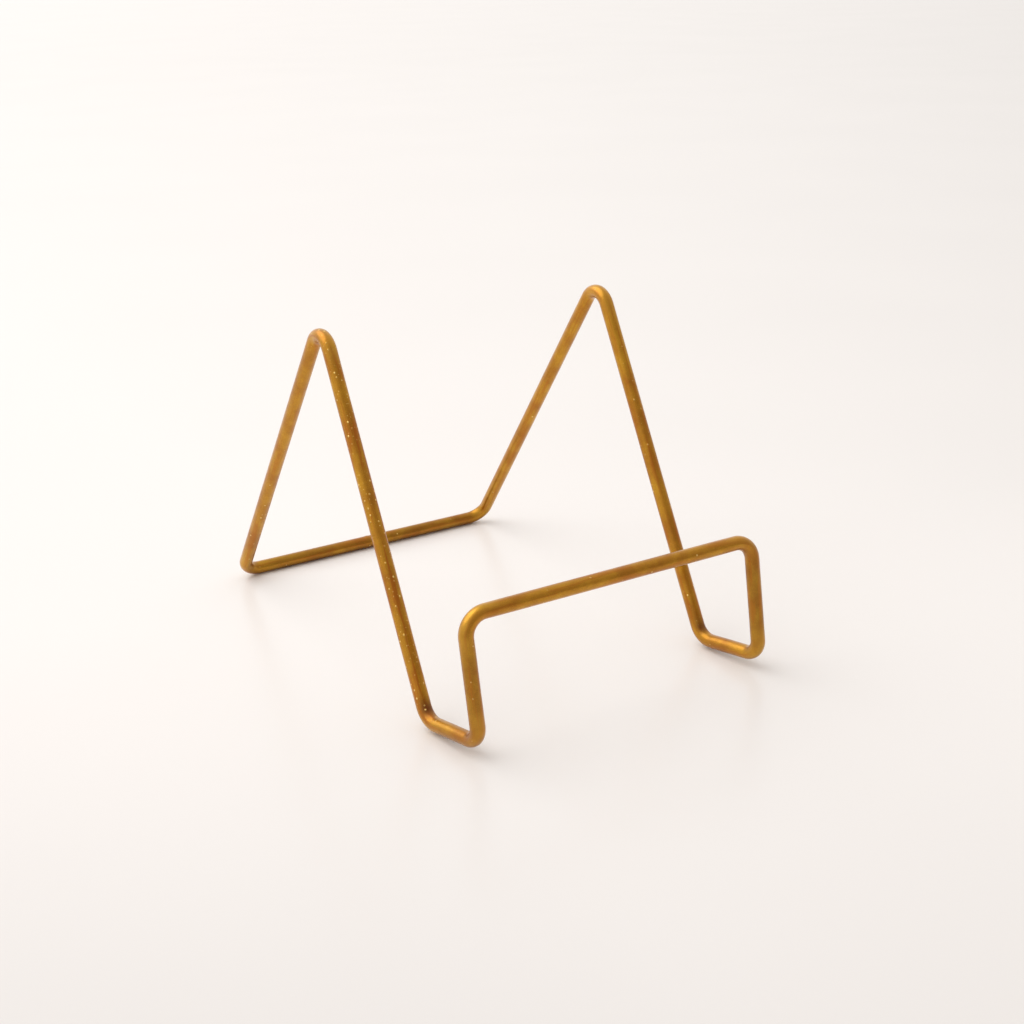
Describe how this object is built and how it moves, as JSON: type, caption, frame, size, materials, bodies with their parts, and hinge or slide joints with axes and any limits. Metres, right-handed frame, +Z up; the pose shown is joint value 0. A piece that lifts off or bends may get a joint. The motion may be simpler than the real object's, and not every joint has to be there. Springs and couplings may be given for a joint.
{
  "type": "photo album stand",
  "caption": "Small free-standing easel bent from one closed loop of round gold-painted wire, with A-shaped sides, a low ledge, and a front rail that keeps an album from sliding off.",
  "frame": {"origin": "bottom centre of the stand's bounding box, on the surface that it stands on", "axes": "+Z up; -Y is the front, where the low rail is; +X is the stand's right as seen from the front; +Y runs back to the rear bar"},
  "size_m": [0.101, 0.1574, 0.1],
  "materials": {
    "gold_paint": "gold-bronze metallic powder coat on steel wire, semi-gloss, with fine sparkle and a faint orange peel, a little darker inside the bends"
  },
  "bodies": {
    "root": {"front_rail": "gold_paint", "left_apex_bend": "gold_paint", "left_foot": "gold_paint", "left_front_leg": "gold_paint", "left_heel_bend": "gold_paint", "left_lip_bend": "gold_paint", "left_lip_post": "gold_paint", "left_rear_bend": "gold_paint", "left_rear_leg": "gold_paint", "left_toe_bend": "gold_paint", "rear_bar_left": "gold_paint", "rear_bar_right": "gold_paint", "right_apex_bend": "gold_paint", "right_foot": "gold_paint", "right_front_leg": "gold_paint", "right_heel_bend": "gold_paint", "right_lip_bend": "gold_paint", "right_lip_post": "gold_paint", "right_rear_bend": "gold_paint", "right_rear_leg": "gold_paint", "right_toe_bend": "gold_paint", "weld_seam": "gold_paint"}
  },
  "joints": []
}
